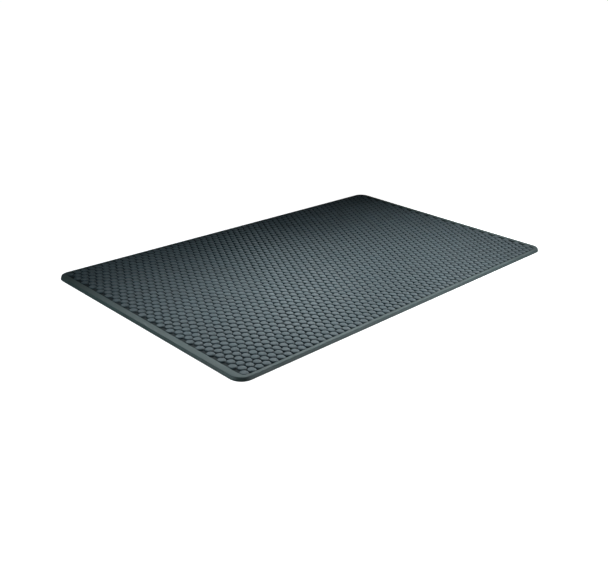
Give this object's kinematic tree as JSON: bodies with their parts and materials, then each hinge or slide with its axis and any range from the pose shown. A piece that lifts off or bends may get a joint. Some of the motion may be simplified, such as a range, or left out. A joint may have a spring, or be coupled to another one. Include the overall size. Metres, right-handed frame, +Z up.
{
  "type": "anti fatigue mat",
  "caption": "Laminated rubber standing mat with a domed wear surface, a foam core and a smooth moulded border with rounded corners.",
  "frame": {"origin": "centre of the footprint, on the floor", "axes": "+X along the long side, +Y along the short side, +Z up out of the domed surface"},
  "size_m": [1.5, 0.9, 0.0127],
  "materials": {
    "field_rubber": "moulded, matt with a soft sheen",
    "border_rubber": "moulded, fine grain, matt",
    "base_rubber": "moulded, matt",
    "closed_cell_foam": "closed-cell foam, skived",
    "bond_film": "hot-melt film"
  },
  "bodies": {
    "root": {"wear_sheet": "field_rubber", "edge_border": "border_rubber", "top_bond_film": "bond_film", "cushion_core": "closed_cell_foam", "base_bond_film": "bond_film", "base_sheet": "base_rubber"}
  },
  "joints": []
}
